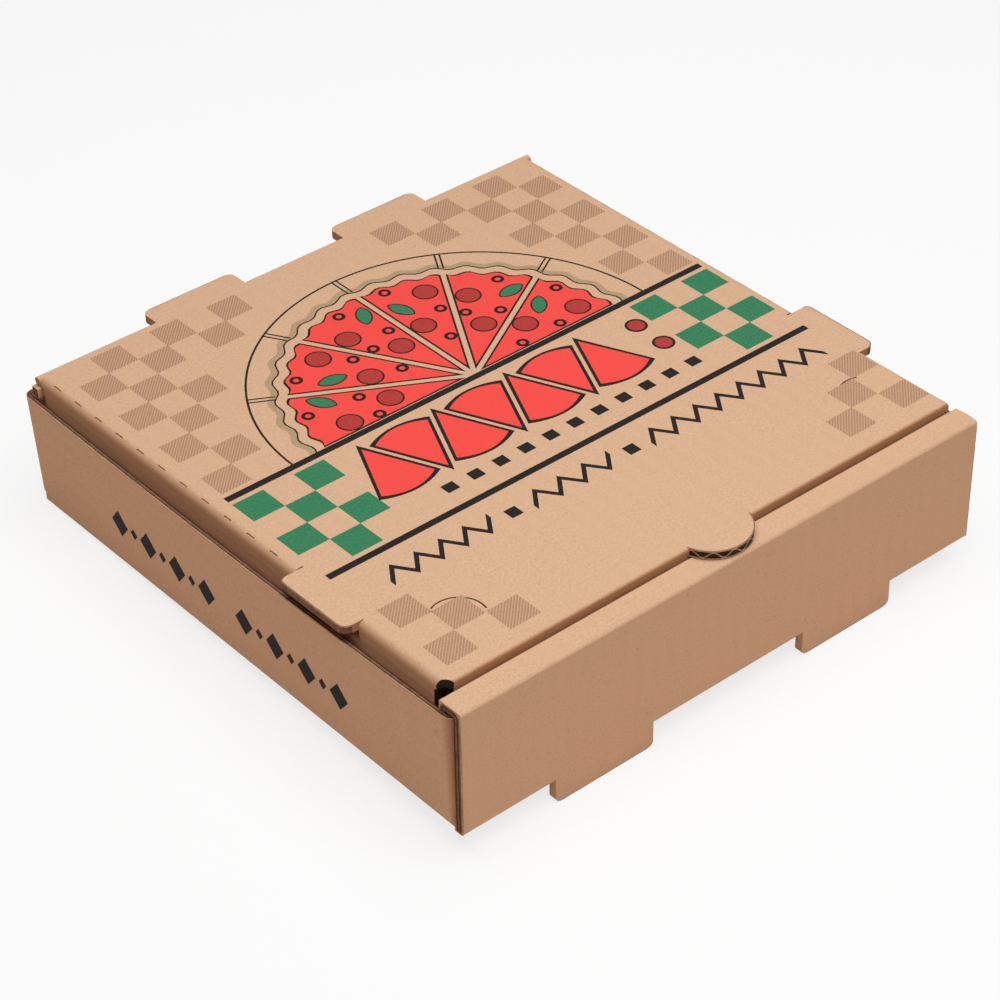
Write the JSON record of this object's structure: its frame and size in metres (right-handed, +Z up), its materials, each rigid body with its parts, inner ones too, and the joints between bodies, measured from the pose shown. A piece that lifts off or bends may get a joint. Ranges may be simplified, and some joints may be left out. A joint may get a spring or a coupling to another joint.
{
  "type": "pizza box",
  "caption": "Flat square carton of folded corrugated board with a hinged tuck-in lid, a double front wall, feet under its front edge and tongues at its back and sides.",
  "frame": {"origin": "middle of the box's outline seen from above, at the level of the bottoms of the front feet", "axes": "+X to the right along the front edge, +Y from the front wall to the hinged back wall, +Z up"},
  "size_m": [0.2164, 0.2188, 0.0574],
  "materials": {
    "tray_board": "matte brown kraft board",
    "lid_board": "matte brown kraft board with printed inks"
  },
  "bodies": {
    "tray": {"tray": "tray_board"},
    "lid": {"lid": "lid_board"}
  },
  "joints": [
    {"name": "lid_hinge", "type": "hinge", "parent": "tray", "child": "lid", "pos_m": [0, 0.10105, 0.0559], "axis": [-1, 0, 0], "range_deg": [0, 180]}
  ]
}
